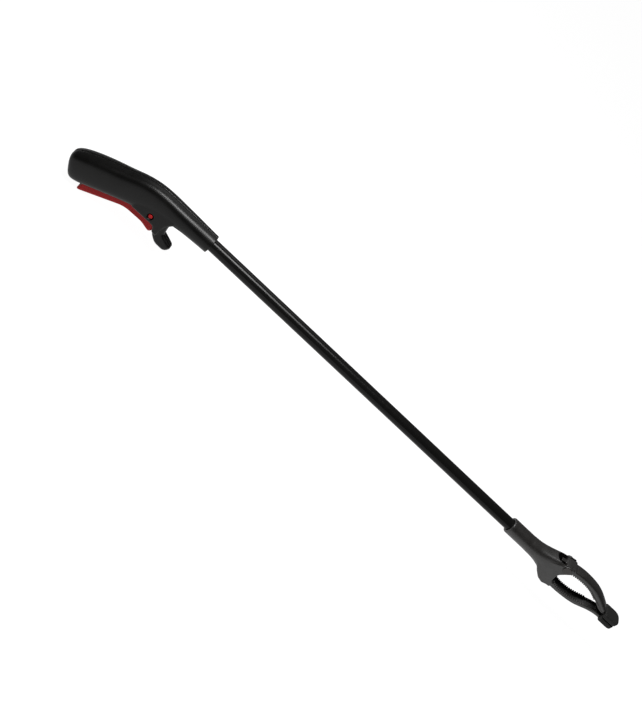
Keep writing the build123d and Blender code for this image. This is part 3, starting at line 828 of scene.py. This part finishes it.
def makePad(name, node, body, side):
    low, high = nodeBox(node)
    half = high.y
    outline = roundedCorners([(low.x, -half, pads["heel"]), (high.x, -half, pads["corner"]),
                              (high.x, half, pads["corner"]), (low.x, half, pads["heel"])])
    piece = slab(name, outline, (high.z - low.z) / 2, pads["edge"], flat=True, height=(high.z + low.z) / 2)
    face = low.z if side > 0 else high.z
    for number in range(pads["grooves"]):
        x = low.x + pads["firstGroove"] + number * pads["groovePitch"]
        carved(piece, bar("groove", pads["grooveRadius"], -past, past, "Y", (x, face), 16))
    worn(piece, pads["grain"], pads["rounds"])
    return finished(piece, body, [node], padGrey)


makePad("upperPad", "moving_jaw_pad", "jaw", 1)
makePad("lowerPad", "fixed_jaw_pad", "frame", -1)
print("pads modelled")


# floor, lights and camera

lightTable = {"middle": (0.18, 0.75), "size": (1.16, 2.7, 1), "tone": (0.12, 0.12, 0.12, 1), "glow": 0.97}
skyGlow = {"turnFrom": -0.75, "turnTo": 0.35, "front": 0.05, "behind": 0.14}


def makeFloor():
    # a light table only as large as the view needs
    letGo()
    bpy.ops.mesh.primitive_plane_add(size=1, location=(*lightTable["middle"], cadBox[0].z))
    floor = bpy.context.object
    floor.name = "floor"
    floor.scale = lightTable["size"]
    settle(floor)
    material, tree, shader, place = newFinish("lightTable", 0.9, Specular_IOR_Level=0.0,
                                              Emission_Strength=lightTable["glow"])
    shader.inputs["Base Color"].default_value = lightTable["tone"]
    shader.inputs["Emission Color"].default_value = (1, 1, 1, 1)
    floor.data.materials.append(material)


def softLight(name, place, aim, size, power):
    letGo()
    bpy.ops.object.light_add(type="AREA", location=place)
    lamp = bpy.context.object
    lamp.name = name
    lamp.data.shape = "RECTANGLE"
    lamp.data.size, lamp.data.size_y = size
    lamp.data.energy = power
    lamp.visible_camera = False
    lamp.rotation_euler = (Vector(aim) - Vector(place)).to_track_quat("-Z", "Y").to_euler()


def makeSky():
    # bright behind and above, darker on the viewer's side
    sky = bpy.data.worlds.new("softSky")
    bpy.context.scene.world = sky
    sky.use_nodes = True
    tree = sky.node_tree
    background = tree.nodes["Background"]
    place = tree.nodes.new("ShaderNodeTexCoord")
    split = tree.nodes.new("ShaderNodeSeparateXYZ")
    tree.links.new(place.outputs["Generated"], split.inputs["Vector"])
    span = tree.nodes.new("ShaderNodeMapRange")
    span.interpolation_type = "SMOOTHSTEP"
    span.inputs["From Min"].default_value = skyGlow["turnFrom"]
    span.inputs["From Max"].default_value = skyGlow["turnTo"]
    span.inputs["To Min"].default_value = skyGlow["front"]
    span.inputs["To Max"].default_value = skyGlow["behind"]
    tree.links.new(split.outputs["Y"], span.inputs["Value"])
    tree.links.new(span.outputs["Result"], background.inputs["Strength"])
    background.inputs["Color"].default_value = (1, 1, 1, 1)


def makeCamera():
    view = {"place": (-0.1091, -0.8472, 0.5932), "turn": (41.65, -40.98, 19.94), "lens": 60}
    bpy.ops.object.camera_add(location=view["place"])
    camera = bpy.context.object
    camera.rotation_euler = [math.radians(angle) for angle in view["turn"]]
    camera.data.lens = view["lens"]
    camera.data.sensor_width = 36
    camera.data.clip_start = 0.02
    camera.data.dof.use_dof = False
    bpy.context.scene.camera = camera


makeFloor()
softLight("handleBox", (0, -0.165, 0.56), (0, 0, 0), (0.33, 0.2), 2.9)
softLight("shaftBox", (0.05, -0.165, 0.565), (0.05, 0, 0), (0.44, 0.2), 3.7)
softLight("farBox", (-0.1, 0.75, 1.1), (0, 0, 0), (1.0, 0.6), 3)
makeSky()
makeCamera()
print("stage set")
